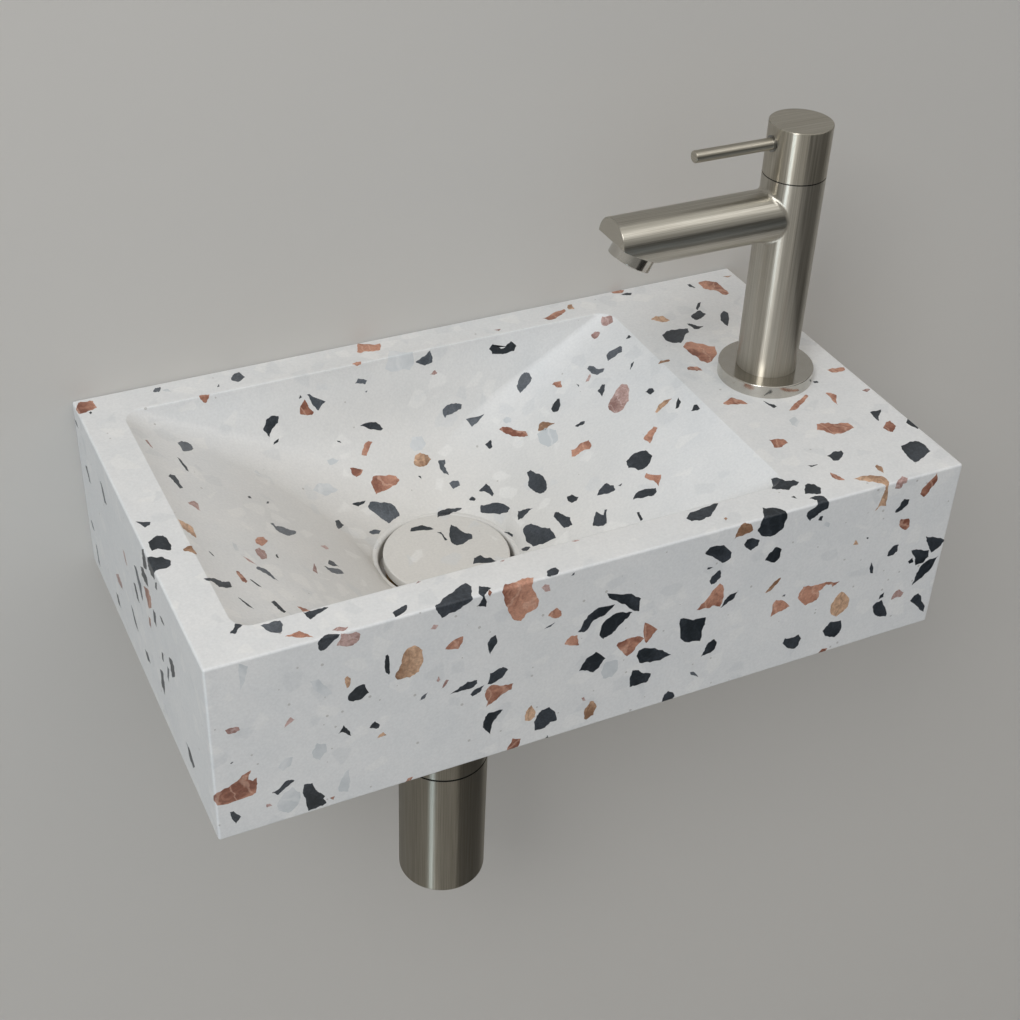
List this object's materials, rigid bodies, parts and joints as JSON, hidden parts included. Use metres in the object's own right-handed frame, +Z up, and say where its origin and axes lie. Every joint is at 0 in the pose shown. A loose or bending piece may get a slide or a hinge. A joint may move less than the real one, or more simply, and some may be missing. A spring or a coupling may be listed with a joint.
{
  "type": "wall-hung cloakroom basin with tap",
  "caption": "Small wall-hung terrazzo basin with a sloped bowl, side deck, single cold tap with turning handle and lever, push waste with stone cover, and steel bottle trap.",
  "frame": {"origin": "midway between the two wall bolts, on the wall plane (the back face of the basin)", "axes": "+X to the right along the wall, +Y into the wall, +Z up"},
  "size_m": [0.385, 0.25, 0.435],
  "materials": {
    "terrazzo": "honed white cement with stone chips",
    "brushed_stainless": "brushed",
    "polished_stainless": "polished",
    "raw_brass": "machined",
    "black_rubber": "moulded",
    "grey_plastic": "moulded",
    "alumina_ceramic": "lapped",
    "spring_steel": "drawn wire"
  },
  "bodies": {
    "basin": {"basin_body": "terrazzo", "wall_bolt_bushes": "grey_plastic", "waste_body": "raw_brass", "waste_top_seal": "black_rubber", "waste_lower_seal": "black_rubber", "waste_slip_washer": "grey_plastic", "waste_backnut": "raw_brass", "click_cartridge": "raw_brass", "click_spring": "spring_steel", "trap_inlet_nut": "brushed_stainless", "trap_inlet_washer": "black_rubber", "trap_dip_tube": "brushed_stainless", "trap_head": "brushed_stainless", "trap_cup": "brushed_stainless", "trap_cup_seal": "black_rubber", "trap_outlet_nut": "brushed_stainless", "trap_outlet_washer": "black_rubber", "trap_outlet_pipe": "brushed_stainless", "wall_rosette": "brushed_stainless", "tap_base_flange": "polished_stainless", "tap_base_seal": "black_rubber", "tap_tail": "raw_brass", "tap_clamp_seal": "black_rubber", "tap_clamp_washer": "polished_stainless", "tap_backnut": "raw_brass", "tap_body": "brushed_stainless", "aerator_collar": "polished_stainless", "aerator_insert": "grey_plastic", "aerator_washer": "black_rubber", "headwork_body": "raw_brass", "headwork_seal": "black_rubber", "fixed_ceramic_disc": "alumina_ceramic", "slip_ring": "grey_plastic"},
    "plug": {"waste_cover": "terrazzo", "cover_carrier": "polished_stainless", "cover_stem": "raw_brass", "cover_seal": "black_rubber"},
    "handle": {"handle_cap": "brushed_stainless", "lever_rod": "polished_stainless", "lever_ring": "black_rubber", "handle_grub_screw": "polished_stainless", "headwork_spindle": "raw_brass", "turning_ceramic_disc": "alumina_ceramic"}
  },
  "joints": [
    {"name": "handle_turn", "type": "hinge", "parent": "basin", "child": "handle", "pos_m": [0.1475, -0.11, 0.19], "axis": [0, 0, 1], "range_deg": [0, 90]},
    {"name": "cover_lift", "type": "slide", "parent": "basin", "child": "plug", "axis": [0, 0, 1], "range_m": [0, 0.0085], "deforming": ["click_spring"]}
  ]
}
